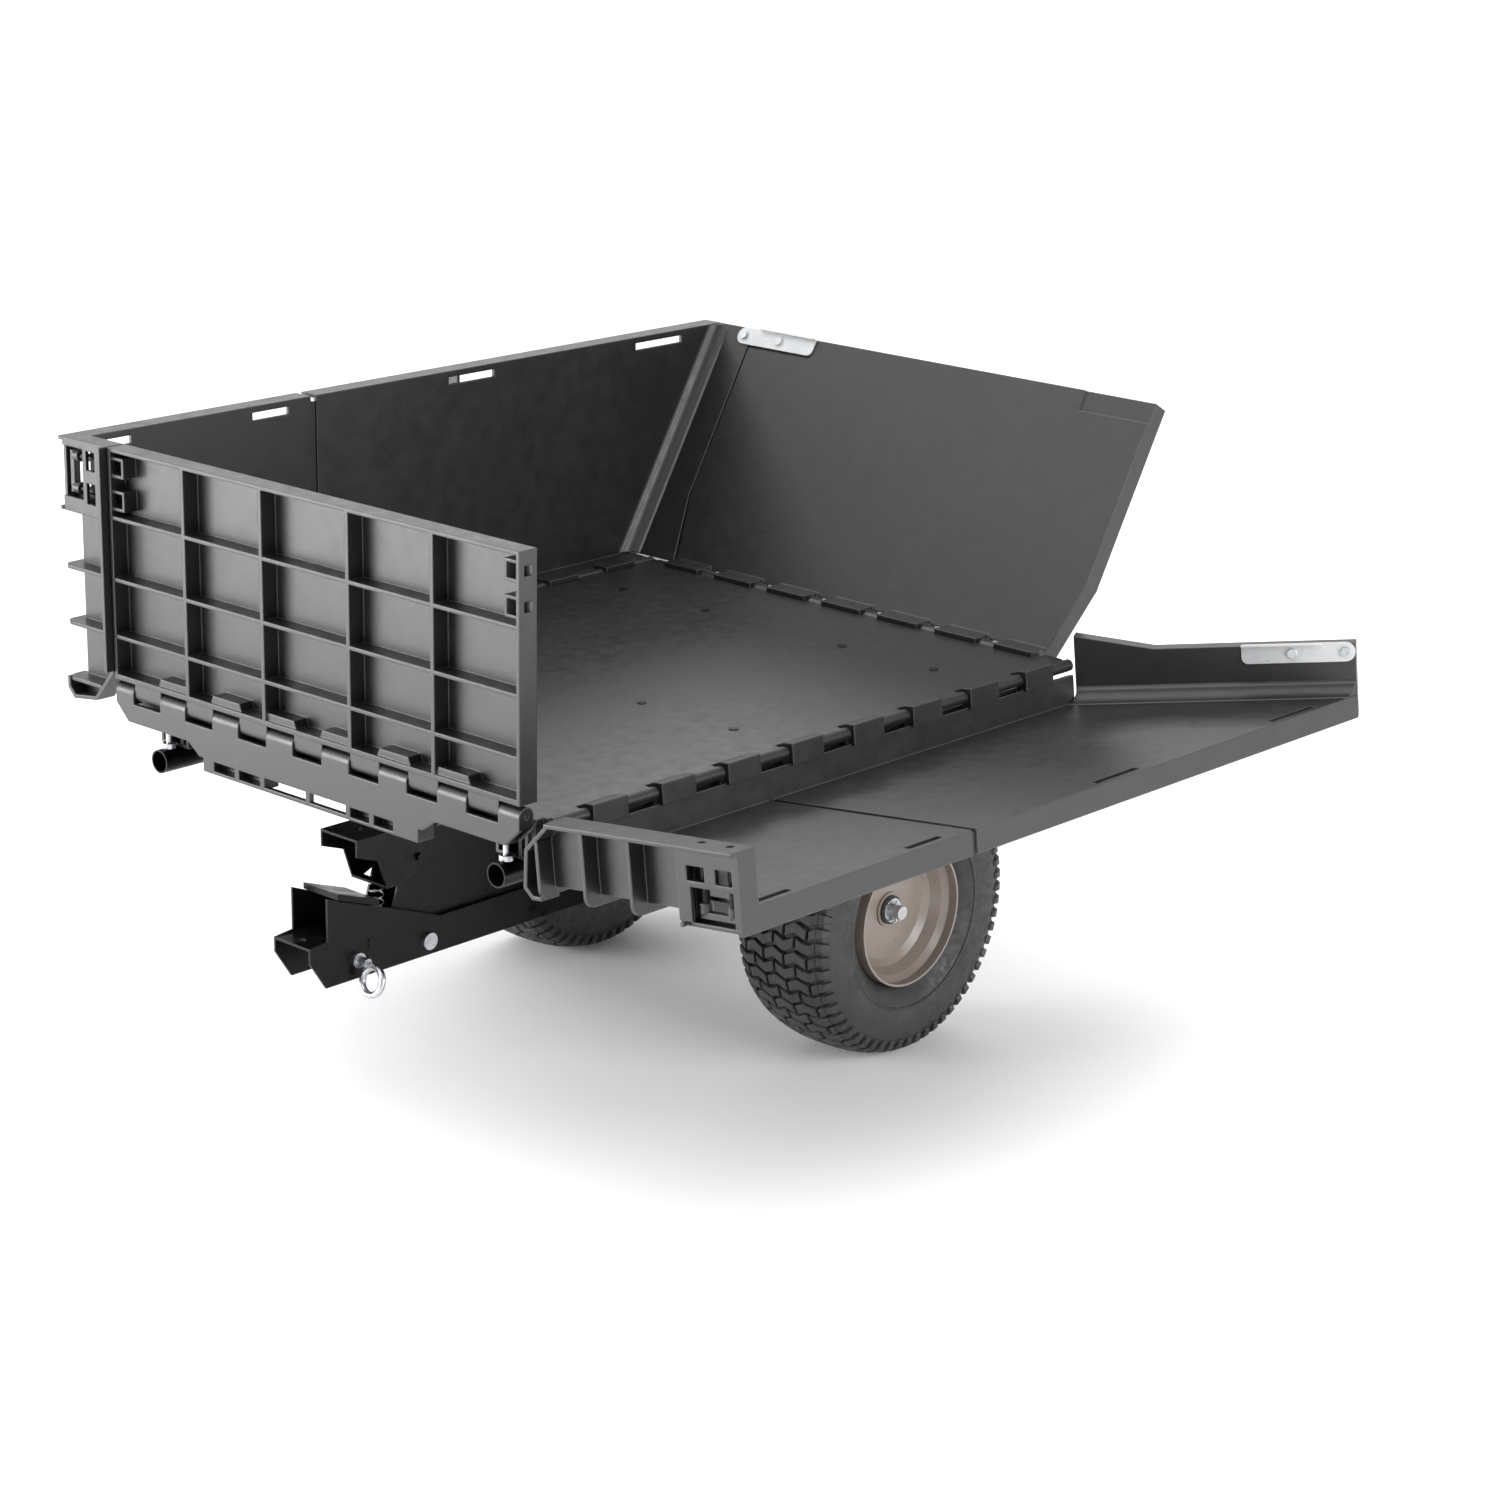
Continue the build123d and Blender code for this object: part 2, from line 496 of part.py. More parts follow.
def pivot_bushings():
    rings = []
    for y in (-BRACKET_Y, BRACKET_Y):
        sleeve = rod((0, y - 5, TYRE_R), (0, y + 5, TYRE_R), AXLE_R + 3.45)
        collar = rod((0, y + 3.1, TYRE_R), (0, y + 6, TYRE_R), AXLE_R + 7)
        collar2 = rod((0, y - 6, TYRE_R), (0, y - 3.1, TYRE_R), AXLE_R + 7)
        ring = fuse([sleeve, collar, collar2]) - rod((0, y - 9, TYRE_R), (0, y + 9, TYRE_R), AXLE_R + 0.06)
        rings.append(ring)
    return Compound(children=rings)


def catch_striker():
    bar = block(553.0, 559.0, -14.0, 14.0, 402.0, TUBE_Z - 14)
    foot = block(548.0, 572.0, -14.0, 14.0, TUBE_Z - 17, TUBE_Z - 14)
    return bar.fuse(foot)


# ---- tongue and hitch ----
def tongue_cheek(y0, y1):
    outline = [(756, 332), (756, 275), (786, HITCH_TOP), (786, 252), (760, TONGUE_LOW), (-16, TONGUE_LOW),
               (-16, TONGUE_HIGH), (563, TONGUE_HIGH), (650, 294), (734, 323)]
    return slab_xz(outline, y0, y1)


def tongue():
    t = TONGUE_HALF
    parts = [tongue_cheek(t - PLATE, t), tongue_cheek(-t, PLATE - t)]
    parts.append(block(-16, 600, -t, t, TONGUE_HIGH - PLATE, TONGUE_HIGH))
    parts.append(block(694, 786, -t, t, HITCH_TOP - PLATE, HITCH_TOP))
    body = fuse(parts)
    body -= rod((HITCH_X, 0, HITCH_TOP - 10), (HITCH_X, 0, HITCH_TOP + 10), HITCH_HOLE_R)
    keeper_x, keeper_z = KEEPER
    body -= rod((keeper_x, -40, keeper_z), (keeper_x, 40, keeper_z), KEEPER_R + 0.3)
    x, z = TONGUE_BOLT
    body -= rod((x, -40, z), (x, 40, z), TONGUE_BOLT_R + 0.2)
    body -= rod((0, -40, TYRE_R + 10.5), (0, 40, TYRE_R + 10.5), 1.0)
    body -= block(686, 692, -40, 40, 246, 264)
    return body


def hitch_strap():
    return slab_xz([(737, 325.5), (737, 334), (667, 309.5), (667, 301)], -33.0, 33.0)


def latch_tower():
    rear = 405.0
    outline = [(rear, TONGUE_HIGH), (655, TONGUE_HIGH), (640, 285), (610, 376), (590, 384), (rear + 25, 384),
               (rear, 360)]
    sides = [slab_xz(outline, 24.0, 27.0), slab_xz(outline, -27.0, -24.0)]
    base = block(rear, 655, -27, 27, TONGUE_HIGH, TONGUE_HIGH + PLATE)
    back = block(rear, rear + PLATE, -27, 27, TONGUE_HIGH, 350)
    tower = fuse(sides + [base, back])
    x, z = PEDAL_PIVOT
    return tower - rod((x, -40, z), (x, 40, z), 5.05)


def pedal_pin():
    x, z = PEDAL_PIVOT
    pin = rod((x, -40, z), (x, 40, z), 5.0)
    head = rod((x, -42, z), (x, -38, z), 8.0)
    return pin.fuse(head)


def release_pedal():
    outline = [(705, 398), (705, 375), (668, 362), (655, 324), (636, 320), (590, 338), (578, 360), (578, 398)]
    t = TONGUE_HALF
    x, z = PEDAL_PIVOT
    sides = [slab_xz(outline, t - PLATE, t), slab_xz(outline, -t, PLATE - t)]
    top = block(578, 705, -t, t, 398 - PLATE, 398)
    web = block(642, 655, -t + 1, t - 1, 321, 324)
    pedal = fuse(sides + [top, web])
    pedal -= rod((x, -40, z), (x, 40, z), 5.06)
    return pedal - rod((672, 0, 390), (672, 0, 400), 5.0)


def latch_spring():
    z0 = TONGUE_HIGH + PLATE + 1.5
    height = 320.5 - 1.5 - z0
    path = Helix(pitch=height / 5, height=height, radius=9.0)
    coil = sweep(Plane(origin=path @ 0, z_dir=path % 0) * Circle(1.2), path=path)
    return Pos(642, 0, z0) * coil


def hitch_pin():
    """Keeper pin through the tongue, with a pull ring and a cross hole for the hair pin."""
    x, z = KEEPER
    shank = rod((x, -46, z), (x, 57, z), KEEPER_R)
    head = rod((x, TONGUE_HALF + 0.2, z), (x, 41, z), 10.0)
    ring = Pos(x, 64, z - 22) * Rot(0, 72, 0) * Torus(18.0, 4.6)
    return fuse([shank, head, ring]) - rod((x, HAIR_PIN_Y, z - 10), (x, HAIR_PIN_Y, z + 10), HAIR_PIN_R + 0.1)


def hair_pin():
    """A wire clip: one leg through the keeper pin, the other beside it."""
    x, z = KEEPER
    far = x + 2 * HAIR_PIN_BEND
    low = z - 16
    straight = Line((x, HAIR_PIN_Y, z + 17), (x, HAIR_PIN_Y, low))
    middle = ((x + far) / 2, HAIR_PIN_Y, low - HAIR_PIN_BEND)
    bend = ThreePointArc((x, HAIR_PIN_Y, low), middle, (far, HAIR_PIN_Y, low))
    back = Line((far, HAIR_PIN_Y, low), (far, HAIR_PIN_Y, z + 13))
    path = Wire([straight, bend, back])
    return sweep(Plane(origin=path @ 0, z_dir=path % 0) * Circle(HAIR_PIN_R), path=path)


def tongue_bolts():
    x, z = TONGUE_BOLT
    t = TONGUE_HALF
    shank = rod((x, -t - 6, z), (x, t + 6, z), TONGUE_BOLT_R)
    heads = [rod((x, s * t, z), (x, s * (t + 6), z), 11.5) for s in (-1, 1)]
    return fuse([shank] + heads)


def axle():
    shaft = rod((0, -AXLE_HALF, TYRE_R), (0, AXLE_HALF, TYRE_R), AXLE_R)
    for y in (-COTTER_Y, COTTER_Y):
        shaft -= rod((0, y, TYRE_R - 2 * AXLE_R), (0, y, TYRE_R + 2 * AXLE_R), COTTER_R + 0.1)
    return shaft


def axle_clamps():
    """Straps that hold the axle under the tongue."""
    straps = []
    for y in (-22.0, 22.0):
        ring = rod((0, y - 6, TYRE_R), (0, y + 6, TYRE_R), AXLE_R + 3)
        ring -= rod((0, y - 7, TYRE_R), (0, y + 7, TYRE_R), AXLE_R)
        ring -= block(-30, 30, y - 7, y + 7, TYRE_R + 8, TYRE_R + 30)
        ears = fuse([block(s * 10, s * 15, y - 6, y + 6, TYRE_R, TONGUE_HIGH - PLATE) for s in (-1, 1)])
        ears -= rod((0, y - 7, TYRE_R), (0, y + 7, TYRE_R), AXLE_R + 1)
        straps.append(ring.fuse(ears))
    return Compound(children=straps)


def axle_washers():
    rings = []
    for y in (193.0, WASHER_Y):
        for s in (-1, 1):
            washer = rod((0, s * y, TYRE_R), (0, s * (y + 2.5), TYRE_R), 17.0)
            rings.append(washer - rod((0, s * (y - 1), TYRE_R), (0, s * (y + 4), TYRE_R), AXLE_R))
    return Compound(children=rings)


def cotter_pins():
    """A split pin through each end of the axle, its legs bent back."""
    pins = []
    reach = AXLE_R + 5
    for s in (-1, 1):
        y = s * COTTER_Y
        shank = rod((0, y, TYRE_R - reach), (0, y, TYRE_R + reach), COTTER_R)
        eye = Pos(0, y, TYRE_R + reach + 2.4) * (Rot(90, 0, 0) * Torus(3.2, COTTER_R))
        legs = rod((-8, y, TYRE_R - reach), (8, y, TYRE_R - reach), COTTER_R)
        pins.append(fuse([shank, eye, legs]))
    return Compound(children=pins)


# ---- wheels, modelled on the left ----
def tyre():
    half = TYRE_W / 2
    outside = [(-68, RIM_R), (-72, 107), (-half + 3, 126), (-half, 150), (-half + 3, 176), (-66, 193),
               (-40, 200.5), (0, TYRE_R), (40, 200.5), (66, 193), (half - 3, 176), (half, 150),
               (half - 3, 126), (72, 107), (68, RIM_R)]
    inside = [(56, RIM_R), (62, 114), (half - 11, 132), (half - 9, 150), (half - 12, 172), (58, 184), (0, 193),
              (-58, 184), (12 - half, 172), (9 - half, 150), (11 - half, 132), (-62, 114), (-56, RIM_R)]
    points = [(0, WHEEL_Y + y, TYRE_R + r) for y, r in outside + inside]
    return revolve(make_face(Polyline(points, close=True)), Axis((0, 0, TYRE_R), (0, 1, 0)))


def rim_half(side):
    """One pressed rim half: the outer one is a shallow dish, the inner one is the deep well."""
    seat, lip = RIM_R - 0.5, RIM_R - 3.5
    if side > 0:
        section = [(0, HUB_R), (0, 72), (8, 83), (22, 91), (29, seat), (45, seat), (45, lip), (31.5, lip),
                   (24, 88.5), (10, 80), (3, 70.5), (3, HUB_R)]
    else:
        section = [(0, HUB_R), (0, 72), (8, 83), (70, 88), (83, seat), (99, seat), (99, lip), (85.5, lip),
                   (72, 85), (10, 80), (3, 70.5), (3, HUB_R)]
    middle = RIM_MID + side * 0.1
    points = [(0, middle + side * y, TYRE_R + r) for y, r in section]
    half = revolve(make_face(Polyline(points, close=True)), Axis((0, 0, TYRE_R), (0, 1, 0)))
    if side > 0:
        half -= rod((VALVE_X, VALVE_Y, TYRE_R + 60), (VALVE_X, VALVE_Y, TYRE_R + 98), VALVE_R + 0.1)
    return half


def hub():
    flange = RIM_MID - 3.2
    tube = rod((0, 214, TYRE_R), (0, RIM_MID + 6, TYRE_R), HUB_R - 0.1)
    waist = rod((0, 224, TYRE_R), (0, flange, TYRE_R), 30)
    collar = rod((0, flange - 6, TYRE_R), (0, flange, TYRE_R), 34.0)
    return fuse([tube, waist, collar]) - rod((0, 200, TYRE_R), (0, 400, TYRE_R), 16.0)


def hub_bushings():
    rings = []
    for y0, y1, face in ((213.5, 240, 196.5), (300, 328.5, 331.5)):
        sleeve = rod((0, y0, TYRE_R), (0, y1, TYRE_R), 15.95)
        collar = rod((0, face, TYRE_R), (0, y0 if face < y0 else y1, TYRE_R), 20.0)
        rings.append(fuse([sleeve, collar]) - rod((0, 190, TYRE_R), (0, 390, TYRE_R), AXLE_R + 0.06))
    return Compound(children=rings)


def valve_stem():
    foot = rod((VALVE_X, VALVE_Y, TYRE_R + 98), (VALVE_X, VALVE_Y, TYRE_R + 101), 7.0)
    stem = rod((VALVE_X, VALVE_Y, TYRE_R + 99), (VALVE_X, VALVE_Y, TYRE_R + 66), VALVE_R)
    cap = rod((VALVE_X, VALVE_Y, TYRE_R + 67), (VALVE_X, VALVE_Y, TYRE_R + 54), 4.2)
    return fuse([foot, stem, cap])


# ---- assembly ----
def side_pieces():
    """The pieces of one side, as if upright on the left, with the corner bracket closed."""
    return {"wall": side_wall(), "bracket_screw": bracket_screw(), "latch_bolts": latch_bolts(),
            "latch_handle": latch_handle(), "corner_bracket": corner_bracket()}


def wheel_pieces():
    return {"tyre": tyre(), "rim_outer": rim_half(1), "rim_inner": rim_half(-1), "hub": hub(),
            "hub_bushings": hub_bushings(), "valve_stem": valve_stem()}


def assemble():
    nodes = {"bed_floor": bed_floor(), "front_wall": front_wall(), "tailgate": tailgate(),
             "frame_tube_left": frame_tube(TUBE_Y), "frame_tube_right": frame_tube(-TUBE_Y),
             "axle_bracket_left": axle_bracket(BRACKET_Y), "axle_bracket_right": axle_bracket(-BRACKET_Y),
             "pivot_bushings": pivot_bushings(), "floor_bolts": floor_bolts(), "frame_bolts": frame_bolts(),
             "catch_striker": catch_striker(), "tongue": tongue(), "hitch_strap": hitch_strap(),
             "latch_tower": latch_tower(), "pedal_pin": pedal_pin(), "release_pedal": release_pedal(),
             "latch_spring": latch_spring(), "hitch_pin": hitch_pin(), "hair_pin": hair_pin(),
             "tongue_bolts": tongue_bolts(), "axle": axle(), "axle_clamps": axle_clamps(),
             "axle_washers": axle_washers(), "cotter_pins": cotter_pins()}
    for name, x in CHANNELS.items():
        nodes["cross_channel_" + name] = cross_channel(x)
    y, z = SIDE_HINGE
    nodes["hinge_rod_left"] = rod((-276, y, z), (720, y, z), ROD_R)
    nodes["hinge_rod_right"] = rod((-276, -y, z), (720, -y, z), ROD_R)
    x, z = FRONT_HINGE
    nodes["hinge_rod_front"] = rod((x, -380, z), (x, 380, z), ROD_R)
    x, z = REAR_HINGE
    nodes["hinge_rod_rear"] = rod((x, -352, z), (x, 352, z), ROD_R)

    fold_axis = Axis((0, SIDE_HINGE[0], SIDE_HINGE[1]), (1, 0, 0))
    swing_axis = Axis(slope_point(PIVOT_Y, PIVOT_UP), OUTWARD)
    for name, piece in side_pieces().items():
        nodes["right_" + name] = other_side(piece)
        if name == "corner_bracket":
            piece = piece.rotate(swing_axis, -90.0)
        nodes["left_" + name] = piece.rotate(fold_axis, -SIDE_DROP)
    for name, piece in wheel_pieces().items():
        nodes["left_" + name] = piece
        nodes["right_" + name] = other_side(piece)
    return nodes


def main():
    os.makedirs("parts", exist_ok=True)
    shift = Pos(-HITCH_X, 0, -(HITCH_TOP - PLATE / 2))
    for name, shape in assemble().items():
        export_step(shift * shape, "parts/" + name + ".step")


main()
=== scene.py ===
import bpy
import bmesh
import json
import math
from mathutils import Matrix, Vector


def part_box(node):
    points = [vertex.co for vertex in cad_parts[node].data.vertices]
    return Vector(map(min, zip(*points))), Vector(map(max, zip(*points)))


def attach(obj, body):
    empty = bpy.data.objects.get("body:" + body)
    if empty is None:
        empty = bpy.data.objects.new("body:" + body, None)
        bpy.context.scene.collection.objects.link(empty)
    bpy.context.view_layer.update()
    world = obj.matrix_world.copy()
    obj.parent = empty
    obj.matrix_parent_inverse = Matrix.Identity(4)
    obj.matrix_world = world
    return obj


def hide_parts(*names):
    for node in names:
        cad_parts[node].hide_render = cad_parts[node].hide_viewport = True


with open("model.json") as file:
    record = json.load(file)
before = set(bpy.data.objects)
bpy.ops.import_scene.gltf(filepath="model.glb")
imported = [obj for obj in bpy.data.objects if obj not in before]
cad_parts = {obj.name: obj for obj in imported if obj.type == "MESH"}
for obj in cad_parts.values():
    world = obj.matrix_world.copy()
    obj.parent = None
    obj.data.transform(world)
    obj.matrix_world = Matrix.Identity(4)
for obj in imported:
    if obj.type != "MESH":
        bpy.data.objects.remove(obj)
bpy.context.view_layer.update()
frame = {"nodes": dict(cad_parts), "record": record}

# ---- places taken from the frame, in metres ----
SIDES = ("left", "right")
WHEEL_CENTRES = {side: sum(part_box(side + "_tyre"), Vector()) / 2 for side in SIDES}
TYRE_R = (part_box("left_tyre")[1].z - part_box("left_tyre")[0].z) / 2
GROUND_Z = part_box("left_tyre")[0].z
BED_CENTRE = (Vector(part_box("bed_floor")[0]) + Vector(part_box("bed_floor")[1])) / 2


# ---- materials ----
NOISE_SPAN = (0.3, 0.7)        # a noise's values beyond this span count as its ends
WEAR_AND_HIGHLIGHT_SPAN = (0.995, 0.85)      # dot product of true and bevelled normal, from a plain edge to a fully lightened edge (part wear, part painted highlight)
PATCH_DETAIL = 6.0
GLOSS_DETAIL = 5.0
GRAIN_DETAIL = 3.0
GLOSS_FINER = 5.0              # patches of gloss are this many times finer than those of colour
GRAIN_STRENGTH = 0.6
COAT_ROUGH = 0.25
LEAST_ROUGH = 0.02
BEVEL_SAMPLES = 6


def links(tree, *pairs):
    for a, b in pairs:
        tree.links.new(a, b)


def set_inputs(node, **values):
    """Sets a node's inputs; an underscore in a name stands for a space."""
    for name, value in values.items():
        node.inputs[name.replace("_", " ")].default_value = value


def noise(tree, place, scale, detail):
    """A noise laid out over the object's own coordinates."""
    node = tree.nodes.new("ShaderNodeTexNoise")
    set_inputs(node, Scale=scale, Detail=detail)
    links(tree, (place, node.inputs["Vector"]))
    return node.outputs["Fac"]


def remap(tree, value, source, target):
    """Carries a value from one span to another and stops at the target's ends."""
    node = tree.nodes.new("ShaderNodeMapRange")
    set_inputs(node, From_Min=source[0], From_Max=source[1], To_Min=target[0], To_Max=target[1])
    links(tree, (value, node.inputs["Value"]))
    return node.outputs["Result"]


def surface(name, colour, rough, metal=0.0, grain=900.0, depth=0.0001, patch=9.0, spread=0.25,
            worn_and_highlight_colour=None, wear_and_highlight=0.0, edge=0.0012, rough_spread=0.1, coat=0.0, specular=0.5):
    """A procedural finish: patchy colour and roughness, a fine grain, softened edges, and edges lightened
    towards a second colour as part wear and part painted highlight.
    """
    mat = bpy.data.materials.new(name)
    mat.use_nodes = True
    tree = mat.node_tree
    new = tree.nodes.new
    shader = tree.nodes["Principled BSDF"]
    set_inputs(shader, Metallic=metal, Coat_Weight=coat, Coat_Roughness=COAT_ROUGH,
               Specular_IOR_Level=specular)
    place = new("ShaderNodeTexCoord").outputs["Object"]

    shade = new("ShaderNodeVectorMath")
    shade.operation = "SCALE"
    shade.inputs[0].default_value = colour
    patches = noise(tree, place, patch, PATCH_DETAIL)
    links(tree, (remap(tree, patches, NOISE_SPAN, (1.0 - spread, 1.0 + spread)), shade.inputs["Scale"]))

    # Edge mask from the bevelled normal: it mixes edges towards a lighter colour, which is part wear and part
    # painted highlight.
    bevel = new("ShaderNodeBevel")
    bevel.samples = BEVEL_SAMPLES
    set_inputs(bevel, Radius=edge)
    bend = new("ShaderNodeVectorMath")
    bend.operation = "DOT_PRODUCT"
    links(tree, (bevel.outputs["Normal"], bend.inputs[0]),
          (new("ShaderNodeNewGeometry").outputs["Normal"], bend.inputs[1]))
    mix = new("ShaderNodeMix")
    mix.data_type = "RGBA"
    mix.inputs["B"].default_value = (*(worn_and_highlight_colour or colour), 1.0)
    links(tree, (remap(tree, bend.outputs["Value"], WEAR_AND_HIGHLIGHT_SPAN, (0.0, wear_and_highlight)), mix.inputs["Factor"]),
          (shade.outputs["Vector"], mix.inputs["A"]), (mix.outputs["Result"], shader.inputs["Base Color"]))

    bump = new("ShaderNodeBump")
    set_inputs(bump, Distance=depth, Strength=GRAIN_STRENGTH)
    links(tree, (noise(tree, place, grain, GRAIN_DETAIL), bump.inputs["Height"]),
          (bevel.outputs["Normal"], bump.inputs["Normal"]), (bump.outputs["Normal"], shader.inputs["Normal"]))

    gloss = noise(tree, place, patch * GLOSS_FINER, GLOSS_DETAIL)
    rough_span = (max(rough - rough_spread, LEAST_ROUGH), min(rough + rough_spread, 1.0))
    links(tree, (remap(tree, gloss, NOISE_SPAN, rough_span), shader.inputs["Roughness"]))
    return mat


# In each finish, the second colour and its amount lighten the edges: part wear, part painted highlight.
MATS = {
    "poly": surface("poly", (0.011, 0.011, 0.0112), 0.38, grain=1400, depth=0.00010, spread=0.12,
                    worn_and_highlight_colour=(0.09, 0.09, 0.092), wear_and_highlight=0.6, edge=0.0026, rough_spread=0.05, specular=0.60),
    "black_steel": surface("black_steel", (0.0025, 0.0025, 0.0027), 0.34, grain=700, depth=0.00003,
                           spread=0.3, worn_and_highlight_colour=(0.10, 0.10, 0.10), wear_and_highlight=0.5, edge=0.0009, specular=0.22),
    "zinc": surface("zinc", (0.50, 0.51, 0.53), 0.34, metal=1.0, grain=350, depth=0.00005, patch=40,
                    spread=0.16, worn_and_highlight_colour=(0.9, 0.9, 0.9), wear_and_highlight=0.6, edge=0.0006, rough_spread=0.12),
    "bracket_white": surface("bracket_white", (0.52, 0.53, 0.54), 0.36, metal=0.35, grain=500,
                             depth=0.00005, patch=30, spread=0.05, worn_and_highlight_colour=(0.95, 0.95, 0.95), wear_and_highlight=0.5,
                             edge=0.0008),
    "rim_paint": surface("rim_paint", (0.22, 0.182, 0.158), 0.36, grain=600, depth=0.00006, patch=18,
                         spread=0.07, worn_and_highlight_colour=(0.5, 0.45, 0.4), wear_and_highlight=0.4, edge=0.0012, coat=0.3),
    "tyre": surface("tyre", (0.028, 0.028, 0.0285), 0.58, grain=800, depth=0.00025, patch=25, spread=0.3,
                    worn_and_highlight_colour=(0.05, 0.05, 0.05), wear_and_highlight=0.5, edge=0.001, rough_spread=0.14),
    "latch_plastic": surface("latch_plastic", (0.03, 0.03, 0.031), 0.35, grain=900, depth=0.0001,
                             worn_and_highlight_colour=(0.1, 0.1, 0.1), wear_and_highlight=0.5, edge=0.0012),
    "bushing": surface("bushing", (0.02, 0.02, 0.02), 0.5, grain=900, depth=0.0001),
}


def paint(obj, slot):
    obj.data.materials.clear()
    obj.data.materials.append(MATS[slot])


for entry in frame["record"]["subparts"]:
    paint(frame["nodes"][entry["node"]], entry["material_slot"])


# ---- mesh helpers ----
SHARP_ANGLE = math.radians(35.0)


def band(bm, one, two):
    """Closes the strip between two loops that have as many points as each other."""
    for i in range(len(one)):
        j = (i + 1) % len(one)
        bm.faces.new((one[i], one[j], two[j], two[i]))


def flipped(outline):
    """The other half of an outline that is the same on both sides, in running order."""
    return [(-y, radius) for y, radius in reversed(outline)]


def wheel_point(bm, centre, angle, y, radius):
    """A new point round the wheel's axis, which lies along Y."""
    return bm.verts.new(centre + Vector((radius * math.cos(angle), y, radius * math.sin(angle))))


def lathe(bm, outline, centre, segments):
    """Turns a closed outline of (y, radius) points about the wheel's axis."""
    rings = [[wheel_point(bm, centre, math.tau * k / segments, y, radius) for y, radius in outline]
             for k in range(segments)]
    for k in range(segments):
        band(bm, rings[k], rings[(k + 1) % segments])


def add_piece(name, bm, body, slot, replaced=()):
    """Makes a smooth-shaded piece that rides a body and stands in for any CAD nodes it replaces."""
    bmesh.ops.recalc_face_normals(bm, faces=bm.faces)
    mesh = bpy.data.meshes.new(name)
    bm.to_mesh(mesh)
    bm.free()
    obj = bpy.data.objects.new(name, mesh)
    bpy.context.scene.collection.objects.link(obj)
    paint(obj, slot)
    for face in mesh.polygons:
        face.use_smooth = True
    mesh.set_sharp_from_angle(angle=SHARP_ANGLE)
    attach(obj, body)
    for node in replaced:
        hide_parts(node)


# ---- tyres ----
TYRE_SEGMENTS = 120
ROWS = 60                # rows of tread blocks round the tyre
PITCH = math.tau / ROWS
BLOCK = 0.036            # width of a block
BLOCK_STEP = BLOCK / 4   # roughly one straight stretch of its zigzag edge
GROOVE = 0.0026          # half width of a groove that runs across the tyre
CUT = GROOVE * 0.7       # half width of a cut between two blocks of a row
ZIGZAG = 0.0042          # how far the grooves swing to either side
TREAD_HALF = 0.068
TREAD_DEEP = 0.0085
TREAD_STEPS = 12         # straight stretches in the carcass under the tread
CROWN_DROP = 0.0105      # how much lower the tread's edge lies than its middle
CROWN_POWER = 2.6
EDGE_CLEAR = 0.006       # a row isn't cut closer than this to the tread's edge
BLOCK_LEVELS = ((0.0, -0.001), (0.0002, TREAD_DEEP - 0.0012), (0.0014, TREAD_DEEP))    # inset, height
LUG_WIDTHS = (1.0, 0.86, 0.62)    # a shoulder lug's width at its top, middle and end
LUG_FACE = 0.86                   # its outer face against its foot


def crown(y):
    """Radius of the tread's top across the tyre."""
    return TYRE_R - CROWN_DROP * (abs(y) / TREAD_HALF) ** CROWN_POWER


def carcass_outline():
    wall = [(-0.056, 0.100), (-0.060, 0.1035), (-0.0645, 0.108), (-0.0695, 0.1155), (-0.0745, 0.1235)]
    rib = [(-0.0765, 0.1275), (-0.0785, 0.1285), (-0.0785, 0.131), (-0.0775, 0.1325)]
    bulge = [(-0.0788, 0.140), (-0.0793, 0.150), (-0.0788, 0.160), (-0.0775, 0.169), (-0.0755, 0.176),
             (-0.0715, 0.183)]
    across = [-TREAD_HALF + 2 * TREAD_HALF * k / TREAD_STEPS for k in range(TREAD_STEPS + 1)]
    under_tread = [(y, crown(y) - TREAD_DEEP) for y in across]
    inside = [(0.056, 0.0995), (0.050, 0.108), (0.066, 0.135), (0.066, 0.170), (0.050, 0.184)]
    outside = wall + rib + bulge
    return outside + under_tread + flipped(outside) + inside + flipped(inside)


def wave(y):
    """The zigzag of the grooves: one rise and one dip for each block."""
    t = (y / BLOCK) % 1.0
    return ZIGZAG * (abs(2 * t - 1) * 2 - 1)


def block_cuts(row):
    """Where a row is cut across the tyre; every other row is half a block along."""
    shift = BLOCK / 2 if row % 2 else 0.0
    reach = math.ceil(TREAD_HALF / BLOCK)
    inner = [k * BLOCK + shift for k in range(-reach, reach + 1)]
    return [-TREAD_HALF] + [y for y in inner if abs(y) < TREAD_HALF - EDGE_CLEAR] + [TREAD_HALF]


def tread_block(bm, centre, row, y0, y1):
    """One block of a row, from y0 to y1, with a softened top edge."""
    count = max(2, round((y1 - y0) / BLOCK_STEP))
    ys = [y0 + (y1 - y0) * i / count for i in range(count + 1)]
    loops = []
    for inset, height in BLOCK_LEVELS:
        loop = []
        for sign in (-1, 1):
            for y in (ys if sign < 0 else reversed(ys)):
                yy = min(max(y, y0 + inset), y1 - inset)
                half = (crown(yy) * PITCH) / 2 - GROOVE - inset
                angle = PITCH * row + (wave(y) + sign * half) / crown(yy)
                loop.append(wheel_point(bm, centre, angle, yy, crown(yy) - TREAD_DEEP + height))
        loops.append(loop)
    for low, high in zip(loops[:-1], loops[1:]):
        band(bm, low, high)
    top = loops[-1]
    last = len(top) - 1
    for i in range(count):
        bm.faces.new((top[i], top[i + 1], top[last - 1 - i], top[last - i]))


